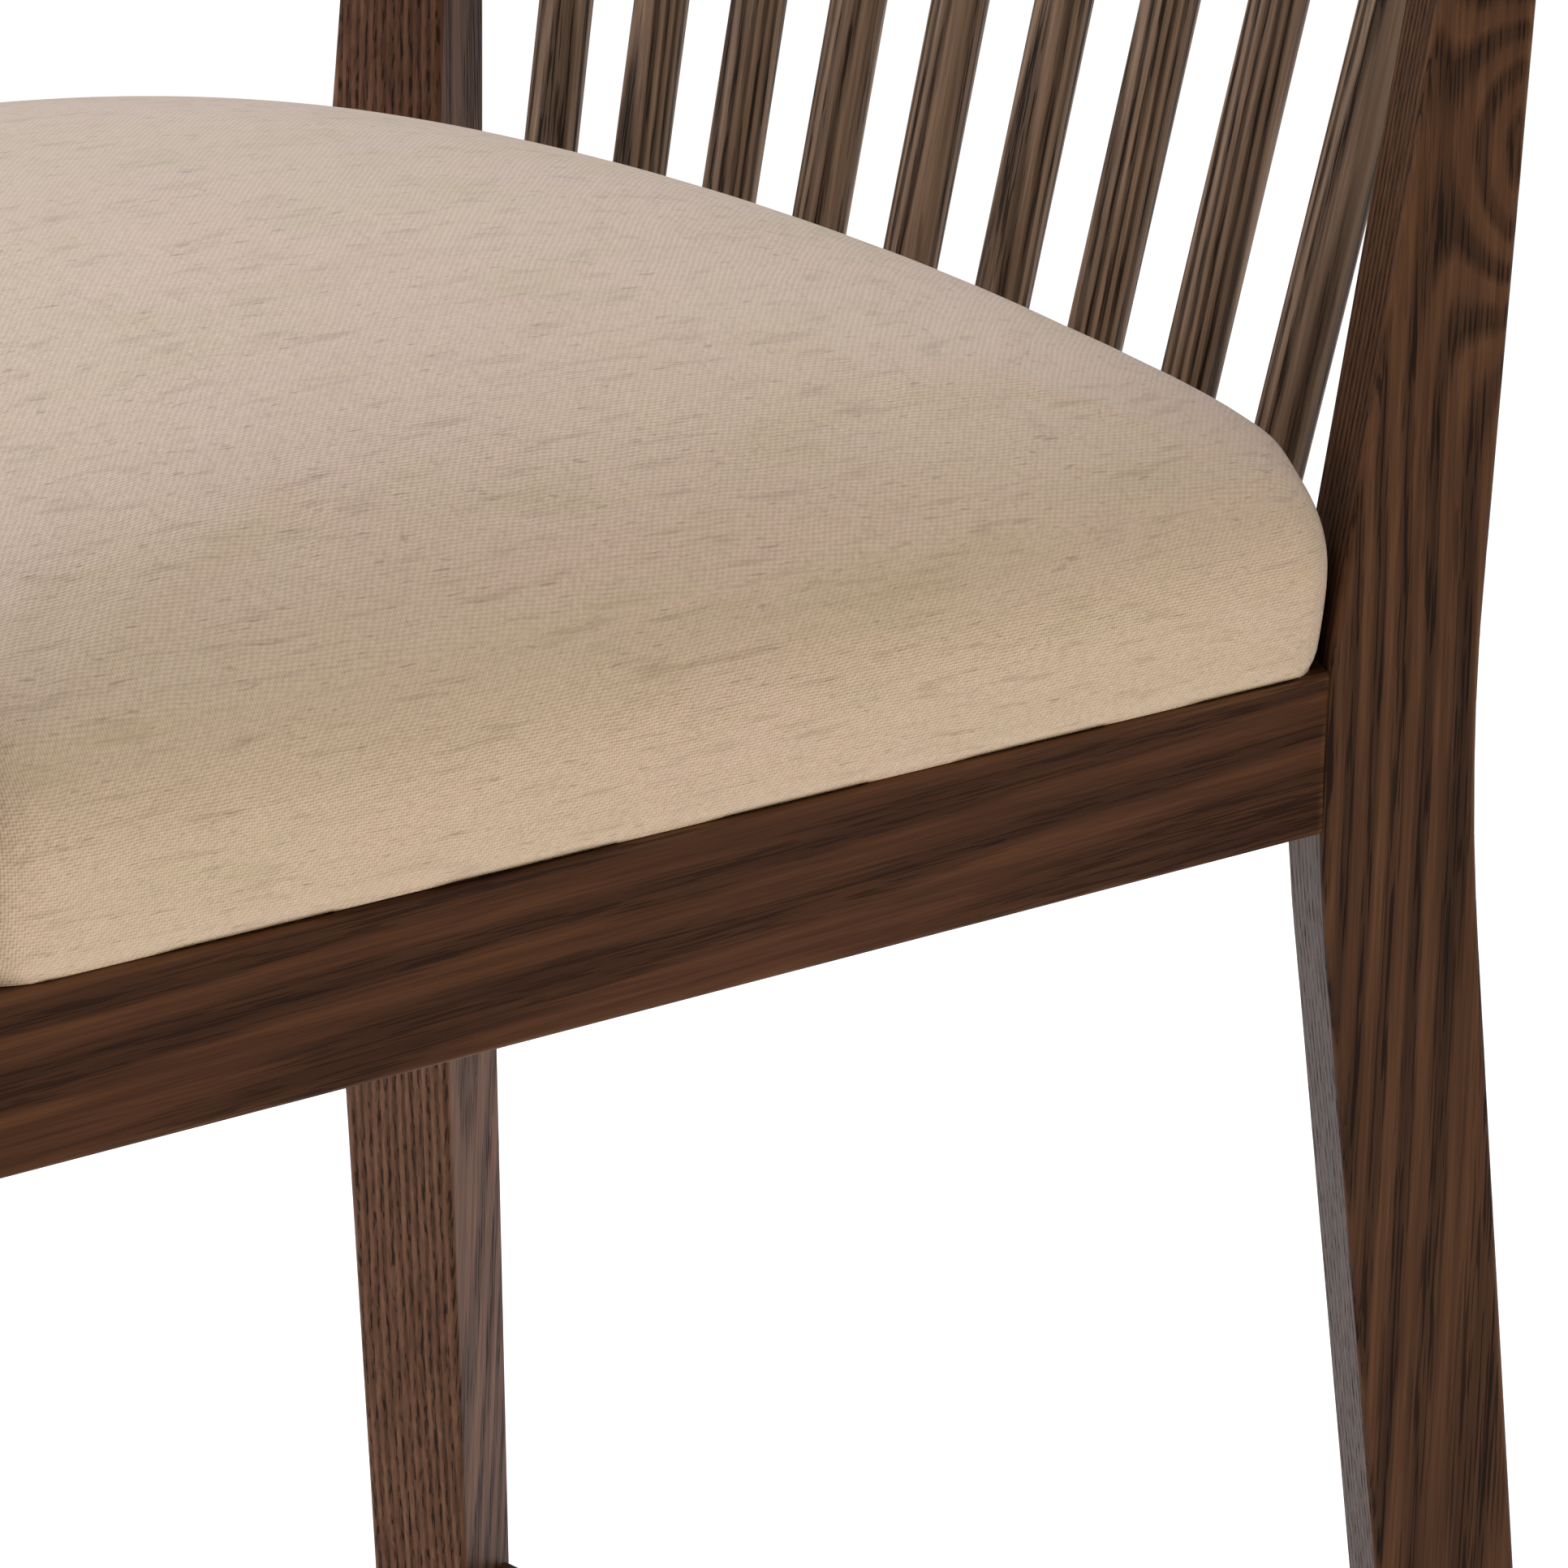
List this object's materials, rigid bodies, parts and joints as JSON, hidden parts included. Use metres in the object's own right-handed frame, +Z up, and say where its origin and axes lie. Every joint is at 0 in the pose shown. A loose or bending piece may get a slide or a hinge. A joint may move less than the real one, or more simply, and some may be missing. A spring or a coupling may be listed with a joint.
{
  "type": "wooden armchair",
  "caption": "Spindle-back wooden armchair with a wrap-around arm rail, splayed tapered legs, low stretchers and a fixed padded fabric seat.",
  "frame": {"origin": "on the floor, under the middle of the chair's outline", "axes": "+Z up, +Y towards the back of the chair, +X to the sitter's left, X = 0 is the middle plane"},
  "size_m": [0.5564, 0.5546, 0.7221],
  "materials": {
    "frame_wood": "dark brown stained ash with open pores, satin lacquer, edges rubbed a little lighter",
    "spindle_wood": "the same stained ash on turned spindles, long grain, satin lacquer",
    "inner_wood": "bare beech, planed",
    "plywood": "bare birch plywood",
    "seat_fabric": "oatmeal linen and cotton twill, matt, slubbed",
    "foam": "open-cell foam",
    "cambric": "black spun-bonded dust cloth",
    "zinc_steel": "zinc-plated steel",
    "wire_steel": "galvanised steel wire",
    "nylon": "dark nylon"
  },
  "bodies": {
    "root": {"arm_left": "frame_wood", "arm_right": "frame_wood", "arm_tenons": "inner_wood", "block_screws": "zinc_steel", "corner_block_front_left": "inner_wood", "corner_block_front_right": "inner_wood", "corner_block_rear_left": "inner_wood", "corner_block_rear_right": "inner_wood", "crest_rail": "frame_wood", "dust_cover": "cambric", "front_post_left": "frame_wood", "front_post_right": "frame_wood", "front_rail": "frame_wood", "front_stretcher": "frame_wood", "glide_nails": "wire_steel", "glides": "nylon", "rail_tenons": "inner_wood", "rear_post_left": "frame_wood", "rear_post_right": "frame_wood", "rear_rail": "frame_wood", "rear_stretcher": "frame_wood", "seat_board": "plywood", "seat_cover": "seat_fabric", "seat_foam": "foam", "seat_screws": "zinc_steel", "side_rail_left": "frame_wood", "side_rail_right": "frame_wood", "side_stretcher_left": "frame_wood", "side_stretcher_right": "frame_wood", "spindle_1": "spindle_wood", "spindle_2": "spindle_wood", "spindle_3": "spindle_wood", "spindle_4": "spindle_wood", "spindle_5": "spindle_wood", "spindle_6": "spindle_wood", "spindle_7": "spindle_wood", "spindle_8": "spindle_wood", "spindle_9": "spindle_wood", "staples": "wire_steel", "stretcher_tenons": "inner_wood"}
  },
  "joints": []
}
